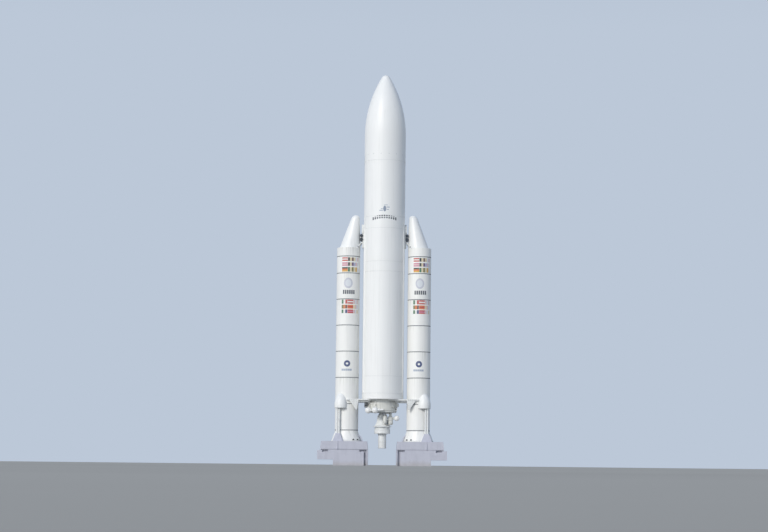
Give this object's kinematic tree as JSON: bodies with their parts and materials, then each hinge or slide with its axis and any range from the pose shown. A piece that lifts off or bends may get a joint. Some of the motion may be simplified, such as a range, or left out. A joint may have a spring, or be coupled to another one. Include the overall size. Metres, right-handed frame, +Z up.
{
  "type": "space rocket, 1:2 scale model",
  "caption": "White space rocket with a round-nosed core, a solid booster on each side and a gimballed engine, standing on two grey plinths, as a half-scale model.",
  "frame": {"origin": "on the ground below the middle of the core, between the two plinths", "axes": "+X towards the right-hand booster, -Y towards the front, +Z up along the core's axis"},
  "size_m": [8.36, 3.22, 25.7942],
  "materials": {
    "rocket_white": "semi-gloss white paint",
    "fairing_white": "semi-gloss white paint over a composite sandwich",
    "fitting_white": "satin off-white paint",
    "engine_grey": "matt light grey paint",
    "gimbal_steel": "brushed",
    "box_dark": "satin dark blue-grey paint",
    "plinth_paint": "painted concrete, matt"
  },
  "bodies": {
    "root": {"core_rim_band": "rocket_white", "core_aft_skirt": "rocket_white", "core_tank": "rocket_white", "core_intertank_ring": "rocket_white", "core_forward_skirt": "rocket_white", "equipment_bay": "rocket_white", "payload_carrier": "fairing_white", "fairing_front_half": "fairing_white", "fairing_rear_half": "fairing_white", "core_duct_left": "rocket_white", "core_duct_right": "rocket_white", "booster_foot_left": "rocket_white", "booster_aft_segment_left": "rocket_white", "booster_centre_segment_left": "rocket_white", "booster_forward_segment_left": "rocket_white", "booster_collar_left": "rocket_white", "booster_nose_left": "rocket_white", "booster_foot_right": "rocket_white", "booster_aft_segment_right": "rocket_white", "booster_centre_segment_right": "rocket_white", "booster_forward_segment_right": "rocket_white", "booster_collar_right": "rocket_white", "booster_nose_right": "rocket_white", "forward_blister_left": "fitting_white", "forward_blister_right": "fitting_white", "forward_bracket_left": "box_dark", "forward_bracket_right": "box_dark", "booster_pod_left": "rocket_white", "booster_pod_right": "rocket_white", "pod_rods_left": "fitting_white", "pod_rods_right": "fitting_white", "rod_seat_left": "plinth_paint", "rod_seat_right": "plinth_paint", "foot_guide_left": "plinth_paint", "foot_guide_right": "plinth_paint", "plinth_base_left": "plinth_paint", "plinth_base_right": "plinth_paint", "plinth_slab_left": "plinth_paint", "plinth_slab_right": "plinth_paint", "aft_beam_front": "fitting_white", "aft_beam_rear": "fitting_white", "aft_gusset_front_left": "fitting_white", "aft_gusset_front_right": "fitting_white", "aft_gusset_rear_left": "fitting_white", "aft_gusset_rear_right": "fitting_white", "aft_struts_left": "fitting_white", "aft_struts_right": "fitting_white", "thrust_frame": "engine_grey", "thrust_frame_skirt": "engine_grey", "valve_box": "box_dark", "pressure_spheres": "rocket_white", "gimbal_upper_yoke": "gimbal_steel"},
    "gimbal": {"gimbal_cross": "gimbal_steel"},
    "engine": {"gimbal_lower_yoke": "gimbal_steel", "engine_bell": "rocket_white", "engine_drum": "rocket_white", "engine_tailpipe": "fitting_white", "turbopump_right": "engine_grey", "turbopump_rear": "engine_grey"}
  },
  "joints": [
    {"name": "engine_pitch", "type": "hinge", "parent": "root", "child": "gimbal", "pos_m": [0, 0, 3.44], "axis": [1, 0, 0], "range_deg": [-7, 7]},
    {"name": "engine_yaw", "type": "hinge", "parent": "gimbal", "child": "engine", "pos_m": [0, 0, 3.44], "axis": [0, 1, 0], "range_deg": [-7, 7]}
  ]
}
